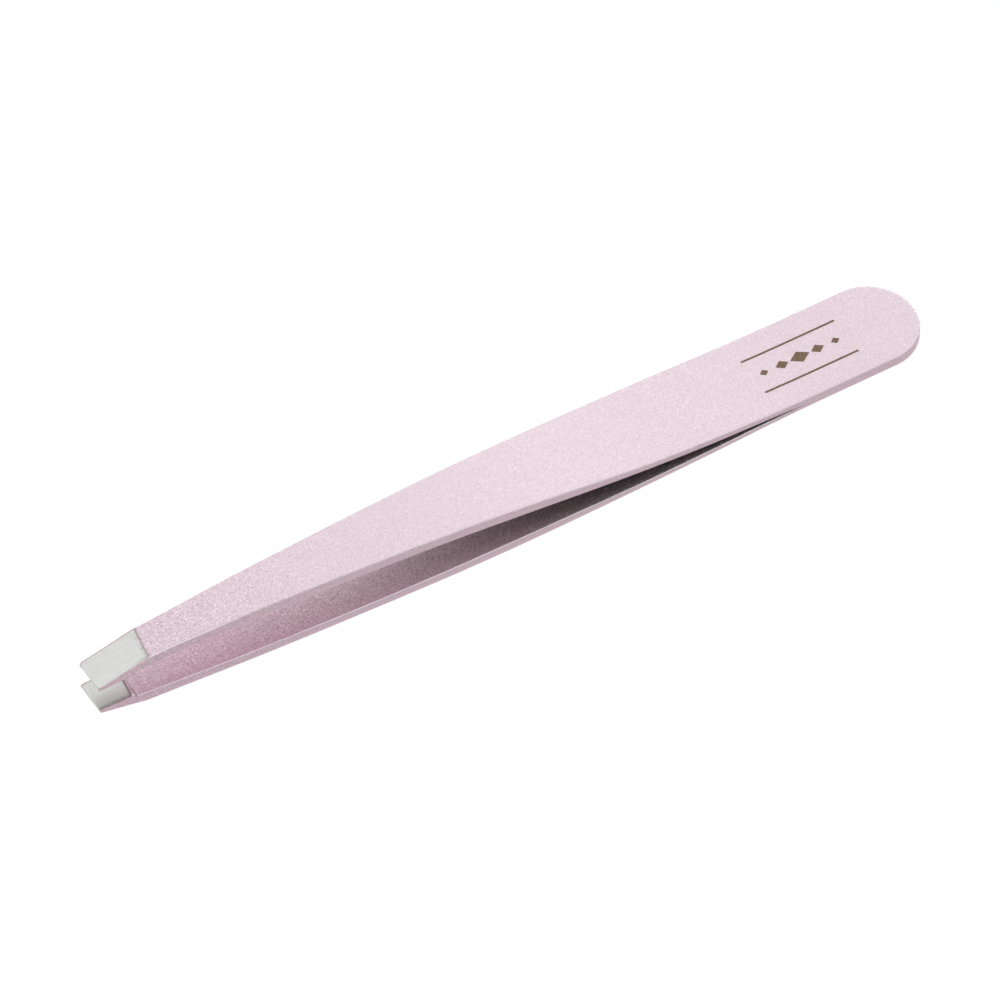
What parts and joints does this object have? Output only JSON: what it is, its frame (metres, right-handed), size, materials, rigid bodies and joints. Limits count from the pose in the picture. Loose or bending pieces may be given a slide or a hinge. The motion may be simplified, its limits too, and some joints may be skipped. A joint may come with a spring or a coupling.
{
  "type": "spring tweezers",
  "caption": "Hand tweezers of two bowed spring-steel strips welded at the tail, powder coated, with flat-ground bare tips.",
  "frame": {"origin": "middle of the length, on the centre line, midway between the two arms", "axes": "+X from the tips to the welded tail, +Y across the strips, +Z through the thickness, from the lower arm to the upper arm"},
  "size_m": [0.095, 0.0104, 0.0072],
  "materials": {
    "spring_steel": "ground, fine brush lines",
    "powder_coat": "satin powder coat, pale pink with fine glitter",
    "print_ink": "matt pad-printed ink"
  },
  "bodies": {
    "welded_tail": {"upper_tail_strip": "spring_steel", "lower_tail_strip": "spring_steel", "spot_welds": "spring_steel", "tail_coat": "powder_coat", "tail_print": "print_ink"},
    "upper_arm": {"upper_arm_strip": "spring_steel", "upper_arm_coat": "powder_coat"},
    "lower_arm": {"lower_arm_strip": "spring_steel", "lower_arm_coat": "powder_coat"}
  },
  "joints": [
    {"name": "upper_arm_squeeze", "type": "hinge", "parent": "welded_tail", "child": "upper_arm", "pos_m": [0.0185, 0, 0.0009], "axis": [0, -1, 0], "range_deg": [0, 1.27], "stiffness_Nm_per_rad": 2},
    {"name": "lower_arm_squeeze", "type": "hinge", "parent": "welded_tail", "child": "lower_arm", "pos_m": [0.0185, 0, -0.0009], "axis": [0, 1, 0], "range_deg": [0, 1.27], "stiffness_Nm_per_rad": 2}
  ],
  "couplings": [
    {"joint": "lower_arm_squeeze", "follows": "upper_arm_squeeze", "ratio": 1}
  ]
}
